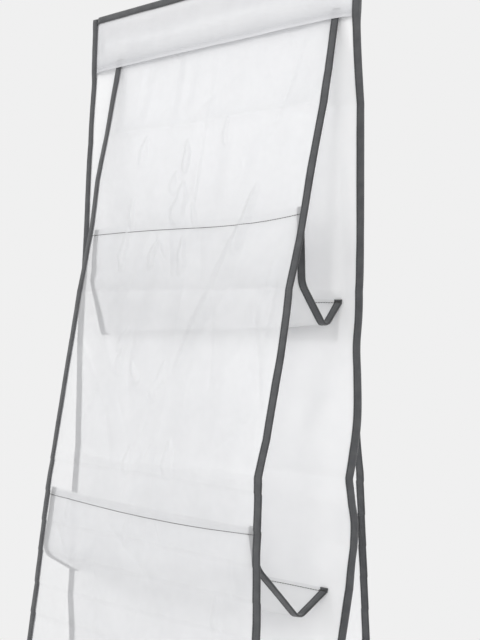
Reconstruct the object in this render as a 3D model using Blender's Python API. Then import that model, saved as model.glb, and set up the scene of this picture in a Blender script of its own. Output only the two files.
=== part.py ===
"""Hanging shoe organizer: a centre panel on a swivel hook, with a sheet on each side and slings for shoes.

The centre panel hangs from a bar in its top pocket. A translucent sheet hangs on each side of it, like the
two sides of a tent, and three slings on each side run from the sheet across to the panel and hold the shoes.
Every cloth edge is bound in a folded tape. The origin is where the hook's crown rests on its rod, Z is up,
X runs along the bar and the front sheet is on the -Y side.
"""

import math

import bmesh
import bpy
from mathutils import Matrix, Vector

# Driving dimensions, in metres. A drop is a distance down from the header's top edge.
HEADER_TOP = -0.075
PANEL_WIDTH = 0.470
PANEL_LENGTH = 1.250
SHEET_WIDTH = 0.380
FLAP_DROP = 0.080
HINGE_DROP = 0.067
HINGE_OFFSET = 0.003
SEAM_DROPS = {"top": 0.312, "middle": 0.663, "bottom": 1.014}
SLING_RISES = {"top": 0.091, "middle": 0.076, "bottom": 0.066}
SLING_LENGTH = 0.185

# The sheets leave the header at a slope, which fades out towards the bottom edge.
SHEET_SLOPE = 0.155
SLOPE_HOLDS = 0.580
SLOPE_FADES = 0.600

# The panel bows towards the back, most of all about a third of the way down.
BOW = 0.014
BOW_START = 0.080
BOW_SPAN = 1.170
BOW_POWERS = (1.3, 3.0)

# Cloth and binding tape.
CLOTH = 0.0008
TAPE = 0.0005
TAPE_WIDTH = 0.010
GAP = 0.0003
TAPE_INNER_HALF = CLOTH / 2 + GAP
TAPE_OUTER_HALF = TAPE_INNER_HALF + TAPE
CLOTH_INSET = TAPE + GAP

# Header: the bar, the pocket of cloth around it and the flap on each side.
BAR_LENGTH = 0.434
BAR_THICKNESS = 0.008
BAR_HEIGHT = 0.028
BAR_DROP = 0.0025
BAR_BEVEL = 0.0015
POCKET_HALF = BAR_THICKNESS / 2 + GAP + CLOTH / 2
POCKET_TOP = 0.0013
POCKET_SHOULDER = 0.040
POCKET_SEAM = 0.046
POCKET_HEM = 0.056
FLAP_HALF = POCKET_HALF + CLOTH + 2 * GAP
FLAP_TOP = 0.0013
FLAP_FLAT_TO = 0.058
FLAP_FLARE = 0.0023
HEADER_TAPE_INNER = FLAP_HALF + CLOTH / 2 + GAP
HEADER_TAPE_TO = 0.060
HEADER_TAPE_TAPER = 0.022

# Swivel hook.
WIRE_RADIUS = 0.0018
HOOK_RADIUS = 0.020
HOOK_TIP_DEGREES = 205
HOOK_NECK_DEGREES = -45
HOOK_BEND_RADIUS = 0.014
HOOK_STEP_DEGREES = 10
HEAD_RADIUS = 0.0032
HEAD_HEIGHT = 0.0020
WASHER_RADIUS = 0.0039
WASHER_THICKNESS = 0.0010
WIRE_HOLE_RADIUS = WIRE_RADIUS + GAP
EYELET_WALL = 0.0007
EYELET_FLANGE_RADIUS = 0.0052
EYELET_FLANGE = 0.0006
EYELET_HOLE_RADIUS = WIRE_HOLE_RADIUS + EYELET_WALL + GAP
ROUND_SEGMENTS = 24

# Spacing of the stations along the long cloths.
STATION = 0.040

# Sling section, as shares of the gap that it spans and of its own depth.
WALL_LEAN = 0.12
WALL_SHARE = 0.60
FOLD_SHARE = 0.62
WALL_BEND_RADIUS = 0.030
WIDE_GAP = 0.050
FOLD_RADIUS = 0.0025
FOLD_RADIUS_SHARE = 0.10
MOST_FOLD_SHARE = 0.28
HEM = 0.009
HEM_OFFSET = 2 * TAPE_OUTER_HALF + GAP
PANEL_OFFSET = CLOTH / 2 + 2 * GAP + TAPE_OUTER_HALF


def bow(drop):
    """How far behind the header's plane the panel lies at a drop."""
    share = (drop - BOW_START) / BOW_SPAN
    if not 0 < share < 1:
        return 0.0
    rise, fall = BOW_POWERS
    peak = rise / (rise + fall)
    shape = share**rise * (1 - share) ** fall
    return BOW * shape / (peak**rise * (1 - peak) ** fall)


def sheet_depth(drop):
    """How far from the header's plane a sheet lies at a drop."""
    below = drop - HINGE_DROP
    faded = max(0.0, below - SLOPE_HOLDS)
    return HINGE_OFFSET + SHEET_SLOPE * (below - faded**2 / (2 * SLOPE_FADES))


def height(drop):
    return HEADER_TOP - drop


def spaced(start, end, step):
    """Evenly spaced values from start to end, at most a step apart."""
    count = max(1, math.ceil((end - start) / step))
    return [start + (end - start) * k / count for k in range(count + 1)]


def material(name, colour, roughness, metallic=0.0, alpha=1.0):
    made = bpy.data.materials.new(name)
    made.use_nodes = True
    shader = made.node_tree.nodes["Principled BSDF"]
    shader.inputs["Base Color"].default_value = (*colour, 1.0)
    shader.inputs["Roughness"].default_value = roughness
    shader.inputs["Metallic"].default_value = metallic
    shader.inputs["Alpha"].default_value = alpha
    made.diffuse_color = (*colour, alpha)
    return made


def put(name, mesh, colour, axis=None):
    """Adds an object, on its joint's empty where it has one. The mesh is in world coordinates."""
    made = bpy.data.objects.new(name, mesh)
    made.data.materials.append(colour)
    bpy.context.collection.objects.link(made)
    if axis:
        made.parent = axis
        made.matrix_parent_inverse = Matrix.Translation(-axis.location)
    return made


def solid(name, points, faces, colour, axis=None):
    mesh = bpy.data.meshes.new(name)
    mesh.from_pydata(points, [], faces)
    build = bmesh.new()
    build.from_mesh(mesh)
    bmesh.ops.recalc_face_normals(build, faces=build.faces)
    build.to_mesh(mesh)
    build.free()
    mesh.shade_smooth()
    mesh.set_sharp_from_angle(angle=math.radians(35))
    return put(name, mesh, colour, axis)


def normals(path):
    """The unit normal at each point of a path in the YZ plane, stretched where the path turns."""
    sides = []
    for (y0, z0), (y1, z1) in zip(path, path[1:]):
        length = math.hypot(y1 - y0, z1 - z0)
        sides.append(Vector((-(z1 - z0) / length, (y1 - y0) / length)))
    found = [sides[0]]
    for before, after in zip(sides, sides[1:]):
        middle = (before + after).normalized()
        found.append(middle / middle.dot(before))
    return found + [sides[-1]]


def swept(name, path, section, colour, axis=None):
    """A closed section carried along a path in the YZ plane.

    section gives, for a station's index, its corners as (x, distance along the path's normal).
    """
    points = []
    for k, ((y, z), side) in enumerate(zip(path, normals(path))):
        points += [(x, y + side.x * out, z + side.y * out) for x, out in section(k)]
    corners = len(section(0))
    last = len(points) - corners
    faces = [list(range(corners)), list(range(last, last + corners))]
    for k in range(len(path) - 1):
        for c in range(corners):
            a = k * corners + c
            b = k * corners + (c + 1) % corners
            faces.append([a, b, b + corners, a + corners])
    return solid(name, points, faces, colour, axis)


def cloth(name, path, width, colour, axis=None):
    """A ply of cloth along a path, whose side edges sit inside their binding tapes."""
    x = width / 2 - CLOTH_INSET
    out = CLOTH / 2
    corners = [(-x, -out), (x, -out), (x, out), (-x, out)]
    return swept(name, path, lambda k: corners, colour, axis)


def side_tape(name, path, width, side, inner_halves, colour, axis=None):
    """A tape folded over the side edge of a cloth, on the -X side where side is -1."""
    edge, web, leg = width / 2, width / 2 - TAPE, width / 2 - TAPE_WIDTH

    def section(k):
        inner = inner_halves[k]
        outer = inner + TAPE
        outline = [(leg, outer), (edge, outer), (edge, -outer), (leg, -outer)]
        outline += [(leg, -inner), (web, -inner), (web, inner), (leg, inner)]
        return [(side * x, out) for x, out in outline]

    return swept(name, path, section, colour, axis)


def end_tape(name, y, edge, leg_end, inner_half, width, colour, axis=None):
    """A tape folded over the top or bottom edge of a cloth, between the side tapes."""
    x = width / 2 - TAPE_WIDTH - GAP
    outer = inner_half + TAPE
    web = edge + math.copysign(TAPE, leg_end - edge)
    outline = [(-outer, leg_end), (-outer, edge), (outer, edge), (outer, leg_end)]
    outline += [(inner_half, leg_end), (inner_half, web), (-inner_half, web), (-inner_half, leg_end)]
    points = [(end, y + out, z) for end in (-x, x) for out, z in outline]
    faces = [list(range(8)), list(range(8, 16))]
    faces += [[c, (c + 1) % 8, (c + 1) % 8 + 8, c + 8] for c in range(8)]
    return solid(name, points, faces, colour, axis)


def filleted(points, radii, degrees=18):
    """A path with its inner corners rounded to the radii."""
    path = [Vector(points[0])]
    for before, corner, after, radius in zip(points, points[1:], points[2:], radii):
        corner = Vector(corner)
        back = (Vector(before) - corner).normalized()
        on = (Vector(after) - corner).normalized()
        turn = math.pi - back.angle(on)
        reach = radius * math.tan(turn / 2)
        centre = corner + (back + on).normalized() * radius / math.cos(turn / 2)
        start = corner + back * reach - centre
        sense = math.copysign(1.0, back.y * on.x - back.x * on.y)
        steps = max(2, math.ceil(math.degrees(turn) / degrees))
        for k in range(steps + 1):
            path.append(centre + Matrix.Rotation(sense * turn * k / steps, 2) @ start)
    path.append(Vector(points[-1]))
    return [tuple(p) for p in path]


def path_length(path):
    return sum(math.dist(a, b) for a, b in zip(path, path[1:]))


def sling_path(level, side):
    """A sling's section, from its top hem on the sheet to its back seam on the panel.

    side is -1 at the front and 1 at the back. The sling's cloth has a set length, and its depth is solved
    for so that it fits the gap that it spans.
    """
    seam = SEAM_DROPS[level]
    back = seam + SLING_RISES[level]
    start = side * (sheet_depth(seam) - HEM_OFFSET)
    end = bow(back) + side * PANEL_OFFSET
    gap = start - end
    wall_share = WALL_SHARE * min(1.0, abs(gap) / WIDE_GAP)
    fold_radius = min(FOLD_RADIUS + FOLD_RADIUS_SHARE * abs(gap), MOST_FOLD_SHARE * abs(gap))
    shallow, deep = back - seam, 2 * SLING_LENGTH
    for _ in range(40):
        depth = (shallow + deep) / 2
        wall = (start - WALL_LEAN * gap, seam + wall_share * depth)
        fold = (start - FOLD_SHARE * gap, seam + depth)
        path = filleted([(start, seam), wall, fold, (end, back)], [WALL_BEND_RADIUS, fold_radius])
        if path_length(path) < SLING_LENGTH:
            shallow = depth
        else:
            deep = depth
    top_hem = (start - side * SHEET_SLOPE * HEM, seam - HEM)
    back_hem = (bow(back - HEM) + side * PANEL_OFFSET, back - HEM)
    return [(y, height(drop)) for y, drop in [top_hem, *path, back_hem]]


def sheet_path(side):
    drops = spaced(HINGE_DROP, PANEL_LENGTH - CLOTH_INSET, STATION)
    return [(side * sheet_depth(d), height(d)) for d in drops]


def pocket_path():
    """The panel, folded over the bar at the top and hemmed back onto itself."""
    ply = 2 * GAP + CLOTH
    loop = [
        (0.0, POCKET_SEAM),
        (-POCKET_HALF, POCKET_SHOULDER),
        (-POCKET_HALF, POCKET_TOP),
        (POCKET_HALF, POCKET_TOP),
        (POCKET_HALF, POCKET_SHOULDER),
        (ply, POCKET_SEAM),
        (ply, POCKET_HEM),
    ]
    drops = spaced(BOW_START, PANEL_LENGTH - CLOTH_INSET, STATION)
    panel = [(bow(d), d) for d in reversed(drops)]
    return [(y, height(drop)) for y, drop in panel + loop]


def flap_path(side):
    outline = [
        (FLAP_HALF, FLAP_TOP),
        (FLAP_HALF, FLAP_FLAT_TO),
        (FLAP_HALF + FLAP_FLARE / 3, FLAP_FLAT_TO + (FLAP_DROP - FLAP_FLAT_TO) / 2),
        (FLAP_HALF + FLAP_FLARE, FLAP_DROP),
    ]
    return [(side * y, height(drop)) for y, drop in outline]


def panel_tape_path():
    """The stations of the panel's side tapes, and the room inside the tape at each."""
    stations = [(0.0, 0.0, HEADER_TAPE_INNER), (0.0, HEADER_TAPE_TO, HEADER_TAPE_INNER)]
    narrow = HEADER_TAPE_TO + HEADER_TAPE_TAPER
    for drop in spaced(narrow, PANEL_LENGTH, STATION):
        stations.append((bow(drop), drop, TAPE_INNER_HALF))
    path = [(y, height(drop)) for y, drop, _ in stations]
    return path, [inner for *_, inner in stations]


def turned(name, outline, colour, axis=None):
    """A ring about Z from its section, given as (radius, z) corners."""
    points = []
    for k in range(ROUND_SEGMENTS):
        angle = 2 * math.pi * k / ROUND_SEGMENTS
        points += [(r * math.cos(angle), r * math.sin(angle), z) for r, z in outline]
    corners, total = len(outline), len(outline) * ROUND_SEGMENTS
    faces = []
    for k in range(ROUND_SEGMENTS):
        for c in range(corners):
            a = k * corners + c
            b = k * corners + (c + 1) % corners
            faces.append([a, b, (b + corners) % total, (a + corners) % total])
    return solid(name, points, faces, colour, axis)


def drill(target, radius, top, bottom):
    """Cuts a round hole about Z through an object."""
    mesh = bpy.data.meshes.new(f"{target.name}_hole")
    build = bmesh.new()
    middle = Matrix.Translation((0, 0, (top + bottom) / 2))
    bmesh.ops.create_cone(
        build,
        cap_ends=True,
        segments=ROUND_SEGMENTS,
        radius1=radius,
        radius2=radius,
        depth=top - bottom,
        matrix=middle,
    )
    build.to_mesh(mesh)
    build.free()
    cutter = bpy.data.objects.new(mesh.name, mesh)
    bpy.context.collection.objects.link(cutter)
    cutter.hide_render = True
    cutter.display_type = "WIRE"
    cut = target.modifiers.new("hole", "BOOLEAN")
    cut.operation = "DIFFERENCE"
    cut.solver = "EXACT"
    cut.object = cutter


def make_bar(colour):
    top = height(BAR_DROP)
    bottom = top - BAR_HEIGHT
    mesh = bpy.data.meshes.new("header_bar")
    build = bmesh.new()
    size = Matrix.Diagonal((BAR_LENGTH, BAR_THICKNESS, BAR_HEIGHT, 1))
    bmesh.ops.create_cube(build, size=1, matrix=Matrix.Translation((0, 0, (top + bottom) / 2)) @ size)
    build.to_mesh(mesh)
    build.free()
    bar = put("header_bar", mesh, colour)
    bevel = bar.modifiers.new("rounded edges", "BEVEL")
    bevel.width = BAR_BEVEL
    bevel.segments = 2
    drill(bar, WIRE_HOLE_RADIUS, top + BAR_THICKNESS, bottom - BAR_THICKNESS)


def make_panel(panel_colour, film_colour, tape_colour):
    """The centre panel with its pocket, its two flaps and its tapes."""
    panel = cloth("centre_panel", pocket_path(), PANEL_WIDTH, panel_colour)
    above, below = height(-POCKET_HALF), height(BAR_DROP)
    drill(panel, EYELET_HOLE_RADIUS, above, below)
    flap_width = PANEL_WIDTH - 2 * (TAPE_WIDTH + GAP - CLOTH_INSET)
    for name, side in (("header_front_flap", -1), ("header_rear_flap", 1)):
        cloth(name, flap_path(side), flap_width, film_colour)
    path, room = panel_tape_path()
    for name, side in (("panel_left_binding", -1), ("panel_right_binding", 1)):
        side_tape(name, path, PANEL_WIDTH, side, room, tape_colour)
    top = end_tape(
        "panel_top_binding",
        0.0,
        height(0.0),
        height(TAPE_WIDTH),
        HEADER_TAPE_INNER,
        PANEL_WIDTH,
        tape_colour,
    )
    drill(top, EYELET_HOLE_RADIUS, above, below)
    end_tape(
        "panel_bottom_binding",
        bow(PANEL_LENGTH),
        height(PANEL_LENGTH),
        height(PANEL_LENGTH - TAPE_WIDTH),
        TAPE_INNER_HALF,
        PANEL_WIDTH,
        tape_colour,
    )


def make_eyelet(colour):
    inner, outer = WIRE_HOLE_RADIUS, WIRE_HOLE_RADIUS + EYELET_WALL
    seat = height(0.0) + GAP
    foot = height(POCKET_TOP + CLOTH / 2)
    outline = [
        (inner, foot),
        (outer, foot),
        (outer, seat),
        (EYELET_FLANGE_RADIUS, seat),
        (EYELET_FLANGE_RADIUS, seat + EYELET_FLANGE),
        (inner, seat + EYELET_FLANGE),
    ]
    turned("hook_eyelet", outline, colour)


def hook_points(washer_foot):
    """The hook's centreline as (x, z, radius), from its riveted head up to its tip."""
    head_top = washer_foot - GAP
    bend = HOOK_RADIUS + WIRE_RADIUS
    neck = math.radians(HOOK_NECK_DEGREES)
    neck_x, neck_z = bend * math.cos(neck), bend * math.sin(neck) - HOOK_RADIUS
    meet_z = neck_z - neck_x
    corners = [(0.0, head_top), (0.0, meet_z), (neck_x, neck_z)]
    stem = filleted(corners, [HOOK_BEND_RADIUS], degrees=9)
    points = [(0.0, head_top - HEAD_HEIGHT, HEAD_RADIUS), (0.0, head_top - 0.0001, HEAD_RADIUS)]
    points += [(x, z, WIRE_RADIUS) for x, z in stem]
    sweep = HOOK_TIP_DEGREES - HOOK_NECK_DEGREES
    for k in range(1, sweep // HOOK_STEP_DEGREES + 1):
        angle = neck + math.radians(k * HOOK_STEP_DEGREES)
        points.append((bend * math.cos(angle), bend * math.sin(angle) - HOOK_RADIUS, WIRE_RADIUS))
    tip_x, tip_z, _ = points[-1]
    along = angle + math.pi / 2
    for step, share in ((0.5, 0.87), (0.85, 0.5)):
        reach = step * WIRE_RADIUS
        points.append((tip_x + reach * math.cos(along), tip_z + reach * math.sin(along), share * WIRE_RADIUS))
    return points


def make_hook(colour, axis):
    """The bent wire, and the washer that its head pulls up against the bar."""
    washer_top = height(BAR_DROP) - BAR_HEIGHT - GAP
    washer_foot = washer_top - WASHER_THICKNESS
    ring = [
        (WIRE_HOLE_RADIUS, washer_foot),
        (WASHER_RADIUS, washer_foot),
        (WASHER_RADIUS, washer_top),
        (WIRE_HOLE_RADIUS, washer_top),
    ]
    turned("hook_washer", ring, colour, axis)
    points = hook_points(washer_foot)
    curve = bpy.data.curves.new("hanger_hook", "CURVE")
    curve.dimensions = "3D"
    curve.bevel_depth = WIRE_RADIUS
    curve.bevel_resolution = 2
    curve.use_fill_caps = True
    spline = curve.splines.new("POLY")
    spline.points.add(len(points) - 1)
    for point, (x, z, radius) in zip(spline.points, points):
        point.co = (x, 0.0, z, 1.0)
        point.radius = radius / WIRE_RADIUS
    put("hanger_hook", curve, colour, axis)


def make_side(side_name, side, film_colour, sling_colour, tape_colour, axis):
    """One sheet with its tapes, and its three slings with theirs."""
    name = f"{side_name}_sheet"
    path = sheet_path(side)
    cloth(name, path, SHEET_WIDTH, film_colour, axis)
    tape_path = path[:-1] + [(side * sheet_depth(PANEL_LENGTH), height(PANEL_LENGTH))]
    room = [TAPE_INNER_HALF] * len(tape_path)
    for edge, way in (("left", -1), ("right", 1)):
        side_tape(f"{name}_{edge}_binding", tape_path, SHEET_WIDTH, way, room, tape_colour, axis)
    end_tape(
        f"{name}_bottom_binding",
        side * sheet_depth(PANEL_LENGTH),
        height(PANEL_LENGTH),
        height(PANEL_LENGTH - TAPE_WIDTH),
        TAPE_INNER_HALF,
        SHEET_WIDTH,
        tape_colour,
        axis,
    )
    for level in SEAM_DROPS:
        name = f"{side_name}_{level}_sling"
        path = sling_path(level, side)
        cloth(name, path, SHEET_WIDTH, sling_colour, axis)
        room = [TAPE_INNER_HALF] * len(path)
        for edge, way in (("left", -1), ("right", 1)):
            side_tape(f"{name}_{edge}_binding", path, SHEET_WIDTH, way, room, tape_colour, axis)


def joint_axis(name, y, z):
    """An empty on a joint's axis, which the joint's moving pieces hang from."""
    empty = bpy.data.objects.new(name, None)
    empty.location = (0.0, y, z)
    bpy.context.collection.objects.link(empty)
    return empty


def build_organizer():
    for old in list(bpy.data.objects):
        bpy.data.objects.remove(old, do_unlink=True)
    panel = material("panel_cloth", (0.86, 0.87, 0.88), 0.75)
    film = material("sheet_film", (0.90, 0.90, 0.91), 0.35, alpha=0.6)
    sling = material("sling_cloth", (0.86, 0.87, 0.88), 0.60, alpha=0.8)
    tape = material("binding_tape", (0.06, 0.065, 0.07), 0.85)
    steel = material("hook_steel", (0.62, 0.62, 0.63), 0.28, metallic=1.0)
    wood = material("bar_wood", (0.62, 0.45, 0.28), 0.60)

    make_bar(wood)
    make_panel(panel, film, tape)
    make_eyelet(steel)
    make_hook(steel, joint_axis("hook_swivel", 0.0, height(0.0)))
    for side_name, side in (("front", -1), ("rear", 1)):
        axis = joint_axis(f"{side_name}_sheet_swing", side * HINGE_OFFSET, height(HINGE_DROP))
        make_side(side_name, side, film, sling, tape, axis)


build_organizer()
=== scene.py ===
"""The looks of the hanging shoe organizer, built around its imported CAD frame.

Cloths are grids of points worked out from the CAD nodes' boxes and profiles. Tapes are folded
strips swept along the cloths' own edges, and slings hang at their cut length between a sheet and
the panel. Depths are along Y, and a drop is a distance below the header's top.
"""

import math

import bmesh
import bpy
import numpy as np
from mathutils import Matrix, Vector


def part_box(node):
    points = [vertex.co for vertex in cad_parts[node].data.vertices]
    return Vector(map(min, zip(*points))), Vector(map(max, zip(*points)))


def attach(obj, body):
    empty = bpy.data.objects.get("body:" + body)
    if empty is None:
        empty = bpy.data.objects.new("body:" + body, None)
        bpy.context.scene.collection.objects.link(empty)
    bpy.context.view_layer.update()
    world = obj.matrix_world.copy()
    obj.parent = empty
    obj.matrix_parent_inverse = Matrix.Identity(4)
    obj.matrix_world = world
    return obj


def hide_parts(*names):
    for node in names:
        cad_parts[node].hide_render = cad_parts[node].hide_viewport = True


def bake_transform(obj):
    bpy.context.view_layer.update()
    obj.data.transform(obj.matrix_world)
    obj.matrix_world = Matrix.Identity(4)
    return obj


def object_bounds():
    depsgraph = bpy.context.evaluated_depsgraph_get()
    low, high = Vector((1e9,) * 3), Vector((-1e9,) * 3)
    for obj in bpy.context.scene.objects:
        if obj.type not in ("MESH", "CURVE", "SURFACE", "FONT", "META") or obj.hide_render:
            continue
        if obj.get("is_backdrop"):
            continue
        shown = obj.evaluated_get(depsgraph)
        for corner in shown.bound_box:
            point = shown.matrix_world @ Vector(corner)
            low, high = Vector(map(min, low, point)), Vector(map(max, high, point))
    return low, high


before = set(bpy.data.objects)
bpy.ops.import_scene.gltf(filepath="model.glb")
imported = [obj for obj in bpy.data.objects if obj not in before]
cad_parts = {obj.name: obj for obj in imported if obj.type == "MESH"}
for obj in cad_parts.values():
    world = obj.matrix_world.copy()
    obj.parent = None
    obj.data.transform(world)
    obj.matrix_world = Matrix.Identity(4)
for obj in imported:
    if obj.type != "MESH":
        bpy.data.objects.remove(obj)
CAD_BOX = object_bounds()

# ---------------------------------------------------------------- sizes, from the frame
HEADER_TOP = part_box("panel_top_binding")[1].z
PANEL_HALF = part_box("panel_right_binding")[1].x
PANEL_LENGTH = HEADER_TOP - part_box("panel_left_binding")[0].z
SHEET_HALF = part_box("front_sheet_right_binding")[1].x
SHEET_TOP = HEADER_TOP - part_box("front_sheet")[1].z
FLAP_DROP = HEADER_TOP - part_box("header_front_flap")[0].z
BAR_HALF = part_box("header_bar")[1].x
LEVELS = ("top", "middle", "bottom")
SIDES = {"front": -1, "rear": 1}

# Cloth and tape, in metres.
HEM = 0.009
TAPE_WIDTH = 0.0100
TAPE_THICK = 0.0005
TAPE_FOLD = 0.0009
EDGE_INSET = TAPE_FOLD + TAPE_THICK / 2
ROOM = 0.0006
CLOTH_STEP = 0.0048
FILM_STEP = 0.0024
PANEL_STEP = 0.0032
SLING_LENGTH = 0.185

# How the cloth hangs away from its nominal shape. The panel's bow is its middle, twist and belly.
# In a pair of rows, the first is drops and the second is the shift at each.
PANEL_BOW = (0.0140, 0.0155, -0.0065)
PANEL_RIGHT_WAVE = (
    (0.58, 0.635, 0.685, 0.73, 0.80, 0.92),
    (0.0, 0.0015, 0.0100, 0.0090, -0.003, 0.0),
)
PANEL_LEFT_EDGE = ((0.60, 0.70, 0.822, 0.87, 1.00), (0.0, -0.0040, -0.0070, -0.0012, 0.0))
# Each bump in the panel's right edge is its drop, reach and size.
PANEL_RIGHT_BUMPS = ((0.655, 0.030, 0.0046), (0.540, 0.040, 0.0034), (0.455, 0.026, -0.0022))
SHEET_DRIFT = ((0.08, 0.312, 0.663, 1.25), (0.0130, 0.0095, 0.0060, 0.0040))
FRONT_BELLY = (
    (0.40, 0.47, 0.56, 0.60, 0.663, 0.72, 0.79, 0.90, 1.05, 1.25),
    (0.0, 0.003, 0.010, 0.014, 0.000, -0.009, -0.019, -0.022, -0.012, 0.0),
)
FRONT_RIGHT_EDGE = (
    (0.08, 0.14, 0.23, 0.30, 0.34, 0.392, 0.42, 0.50, 0.56, 0.62, 0.68, 0.76, 1.00),
    (0.0040, 0.0057, 0.0022, 0.0004, -0.0012, -0.0045, -0.0026, -0.0010, 0.0018)
    + (-0.0014, -0.0020, 0.0020, 0.0),
)
FRONT_LEFT_EDGE = (
    (0.10, 0.18, 0.24, 0.30, 0.40, 0.64, 0.70, 0.78, 0.90, 1.15),
    (-0.0008, -0.0060, -0.0080, -0.0034, -0.0050, -0.0050, -0.0010, 0.0036, 0.0032, 0.0016),
)
SEAM_TILT = {("front", "top"): -0.0055, ("rear", "middle"): 0.0060}
MIDDLE_FOLD = 0.009
PACKING_FOLDS = (0.178, 0.393, 0.607, 0.822, 1.037)


def smooth(t):
    """An even step from 0 to 1."""
    t = np.clip(t, 0.0, 1.0)
    return t * t * (3.0 - 2.0 * t)


def ridge(distance, width):
    """A sharp ridge, one unit high."""
    return np.exp(-np.abs(distance) / width)


def bump(distance, width):
    """A round bump, one unit high."""
    return np.exp(-((distance / width) ** 2))


def joined(x, y, z):
    """Points from their coordinates, any of which may be one number for all."""
    return np.stack(np.broadcast_arrays(x, y, z), -1)


def lattice(u, v, cell, seed):
    """Smooth noise from -1 to 1 on a plane, from a seeded table of values."""
    table = np.random.default_rng(seed).uniform(-1.0, 1.0, (64, 64))
    a, b = np.asarray(u) / cell, np.asarray(v) / cell
    i, j = np.floor(a).astype(int), np.floor(b).astype(int)
    s, t = smooth(a - i), smooth(b - j)
    corner = lambda di, dj: table[(i + di) % 64, (j + dj) % 64]
    low = corner(0, 0) * (1 - s) + corner(1, 0) * s
    high = corner(0, 1) * (1 - s) + corner(1, 1) * s
    return low * (1 - t) + high * t


def profile(node):
    """A CAD cloth's middle line, as (drops, depths) from the header's top and plane."""
    rows = {}
    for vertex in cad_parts[node].data.vertices:
        rows.setdefault(round(vertex.co.z, 4), []).append(vertex.co.y)
    drops = sorted(HEADER_TOP - z for z in rows)
    return np.array(drops), np.array([np.mean(rows[round(HEADER_TOP - d, 4)]) for d in drops])


def panel_bow(x, drop):
    """How far behind the header's plane the panel hangs: most in its upper third."""
    share = np.clip((drop - 0.08) / 1.17, 0.0, 1.0)
    peak = 0.0717
    shape = share**1.3 * (1 - share) ** 3 / peak
    across = x / PANEL_HALF
    middle, twist, belly = PANEL_BOW
    return shape * (middle + twist * across + belly * across**2)


def panel_point(x, drop):
    """The panel's surface, with its bow, its packing folds and its slow waves."""
    free = smooth((drop - 0.09) / 0.10)
    waves = 0.0022 * lattice(x + 0.3, drop, 0.16, 3)
    waves = waves + 0.0010 * lattice(x + 0.3, drop * 0.35, 0.030, 4)
    y = panel_bow(x, drop) + free * waves
    inner = 0.25 + 0.75 * smooth((PANEL_HALF - np.abs(x)) / 0.05)
    for k, fold in enumerate(PACKING_FOLDS):
        bend = fold + 0.0015 * lattice(x, fold, 0.05, 7)
        y = y + (-1) ** k * 0.0026 * inner * ridge(drop - bend, 0.011)
    y = y + 0.0016 * ridge(x - MIDDLE_FOLD, 0.007) * smooth((drop - 0.10) / 0.05)
    # A dent and a slanting swelling near the right edge.
    y = y + 0.0024 * bump(x - 0.204, 0.010) * bump(drop - 0.355, 0.055)
    slant = (x - 0.185) + 0.42 * (drop - 0.46)
    y = y + 0.0035 * bump(slant, 0.022) * bump(drop - 0.53, 0.10)
    right = smooth((x - 0.07) / (PANEL_HALF - 0.07))
    y = y + np.interp(drop, *PANEL_RIGHT_WAVE) * right
    return joined(x, y, HEADER_TOP - drop)


def fold_kinks(drop, seed):
    """Sideways kinks, up to one unit, of an edge where the packing folds cross it."""
    pick = np.random.default_rng(seed)
    kinks = 0.0
    for k, fold in enumerate(PACKING_FOLDS):
        kinks = kinks + (-1) ** k * pick.uniform(0.3, 1.0) * ridge(drop - fold, 0.022)
    return kinks


def panel_edge_shift(drop, way):
    """The small in and out wander of the panel's side edges."""
    wander = 0.0012 * lattice(drop, way * 0.5, 0.09, 11) + 0.0004 * fold_kinks(drop, 12 + way)
    if way < 0:
        return wander + np.interp(drop, *PANEL_LEFT_EDGE)
    wander = wander - 0.0048 * ridge(drop - PACKING_FOLDS[2], 0.017)
    for place, reach, size in PANEL_RIGHT_BUMPS:
        wander = wander + size * bump(drop - place, reach)
    return wander


SHEET_PROFILES = {name: profile(f"{name}_sheet") for name in SIDES}


def sheet_drift(drop):
    """How far to the right a sheet hangs."""
    return np.interp(drop, *SHEET_DRIFT)


def sheet_depth(name, x, drop):
    """How far a sheet hangs from the header's plane, towards its own side."""
    drops, depths = SHEET_PROFILES[name]
    depth = np.abs(np.interp(drop, drops, depths))
    if name == "front":
        right = smooth((x / SHEET_HALF + 0.2) / 1.2)
        depth = depth + right * np.interp(drop, *FRONT_BELLY)
        left = smooth((-x / SHEET_HALF - 0.86) / 0.14)
        curl = 0.0030
        depth = depth - curl * left * smooth((drop - 0.10) / 0.08)
    return depth


def crinkles(x, drop, seed, count, reach):
    """Short sharp ridges scattered over a stiff film."""
    pick = np.random.default_rng(seed)
    height = 0.0
    for _ in range(count):
        cx, cd = pick.uniform(-0.16, 0.16), pick.uniform(*reach)
        angle = pick.normal(math.pi / 2, 0.45)
        length, width = pick.uniform(0.02, 0.07), pick.uniform(0.0035, 0.008)
        size = pick.uniform(0.0007, 0.0017) * pick.choice((-1, 1))
        along = (x - cx) * math.cos(angle) + (drop - cd) * math.sin(angle)
        across = -(x - cx) * math.sin(angle) + (drop - cd) * math.cos(angle)
        height = height + size * np.exp(-((along / length) ** 2) - (np.abs(across) / width) ** 1.4)
    return height


def blisters(x, drop, patches):
    """Low teardrop swellings with steep rims, where the film has been pressed in its packing."""
    height = 0.0
    for cx, cd, wide, long, size, tilt in patches:
        across = (x - cx) - tilt * (drop - cd) + 0.35 * wide * lattice(0.0, drop, 0.012, 17)
        along = (drop - cd) / long
        narrow = wide * (0.75 + 0.45 * along)
        reach = np.sqrt((across / np.maximum(narrow, 0.0015)) ** 2 + along**2)
        height = height + 1.6 * size * (1 - smooth((reach - 0.74) / 0.30))
    return height


PATCH_RANGES = ((-0.15, 0.15), (0.15, 1.2), (0.005, 0.013), (0.014, 0.034), (0.0006, 0.0012))


def scattered_patches(seed, count):
    pick = np.random.default_rng(seed)
    patches = []
    for _ in range(count):
        sizes = [pick.uniform(*reach) for reach in PATCH_RANGES]
        patches.append((*sizes, pick.normal(0.0, 0.25)))
    return patches


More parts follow.
